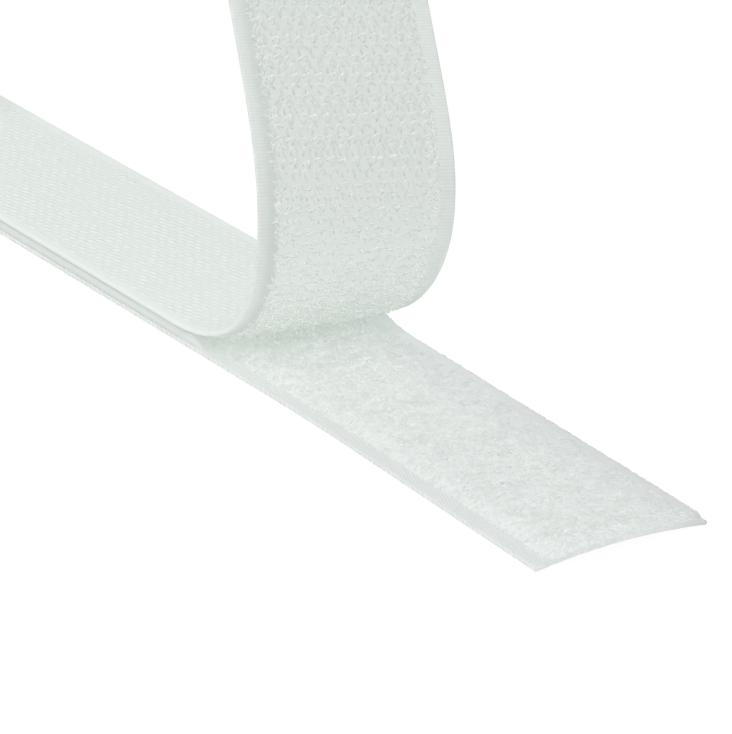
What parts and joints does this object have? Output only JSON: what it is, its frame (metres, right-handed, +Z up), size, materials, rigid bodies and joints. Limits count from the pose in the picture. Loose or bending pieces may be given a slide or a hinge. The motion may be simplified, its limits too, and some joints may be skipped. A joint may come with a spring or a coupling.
{
  "type": "hook and loop tape roll",
  "caption": "White woven hook tape and loop tape, pressed face to face and wound on a paper core, with the hook tape peeled up from the loop tape at the free end.",
  "frame": {"origin": "on the underside of the loop tape, on its centre line, below the line where the hook tape starts to peel", "axes": "+X along the loop tape towards its cut end, +Y across the tape, +Z up from the loop tape's back"},
  "size_m": [0.2946, 0.0363, 0.0842],
  "materials": {
    "woven_nylon": "satin",
    "loop_pile": "matte",
    "hook_nylon": "satin",
    "paper_board": "matte"
  },
  "bodies": {
    "roll": {"core_tube": "paper_board", "loop_web_wound": "woven_nylon", "pile_wound": "loop_pile", "hook_web_wound": "woven_nylon", "pile_run": "loop_pile", "loop_web_run": "woven_nylon", "loop_nap": "loop_pile", "hook_web_run": "woven_nylon"},
    "peel_1": {"peel_web_1": "woven_nylon", "peel_hooks_1": "hook_nylon"},
    "peel_2": {"peel_web_2": "woven_nylon", "peel_hooks_2": "hook_nylon"},
    "peel_3": {"peel_web_3": "woven_nylon", "peel_hooks_3": "hook_nylon"},
    "peel_4": {"peel_web_4": "woven_nylon", "peel_hooks_4": "hook_nylon"},
    "peel_5": {"peel_web_5": "woven_nylon", "peel_hooks_5": "hook_nylon"}
  },
  "joints": [
    {"name": "peel_bend_1", "type": "hinge", "parent": "roll", "child": "peel_1", "pos_m": [0.00796, 0, 0.00294], "axis": [-0.0032, -1, -0.0004], "range_deg": [-17.92, 6.32]},
    {"name": "peel_bend_2", "type": "hinge", "parent": "peel_1", "child": "peel_2", "pos_m": [0.01907, 0, 0.00779], "axis": [-0.0631, -0.9975, -0.0316], "range_deg": [-34.5, 12.1]},
    {"name": "peel_bend_3", "type": "hinge", "parent": "peel_2", "child": "peel_3", "pos_m": [0.02387, 0.00008, 0.01438], "axis": [-0.1296, -0.9847, -0.1165], "range_deg": [-29.21, 10.28]},
    {"name": "peel_bend_4", "type": "hinge", "parent": "peel_3", "child": "peel_4", "pos_m": [0.02467, 0.00046, 0.02174], "axis": [-0.1317, -0.9894, -0.0604], "range_deg": [-31.8, 11.18]},
    {"name": "peel_bend_5", "type": "hinge", "parent": "peel_4", "child": "peel_5", "pos_m": [0.02036, 0.00175, 0.03083], "axis": [-0.1686, -0.9855, 0.0214], "range_deg": [-15.46, 5.45]}
  ],
  "couplings": [
    {"joint": "peel_bend_1", "follows": "peel_bend_2", "ratio": 0.51788},
    {"joint": "peel_bend_3", "follows": "peel_bend_2", "ratio": 0.84512},
    {"joint": "peel_bend_4", "follows": "peel_bend_2", "ratio": 0.92023},
    {"joint": "peel_bend_5", "follows": "peel_bend_2", "ratio": 0.44656}
  ]
}
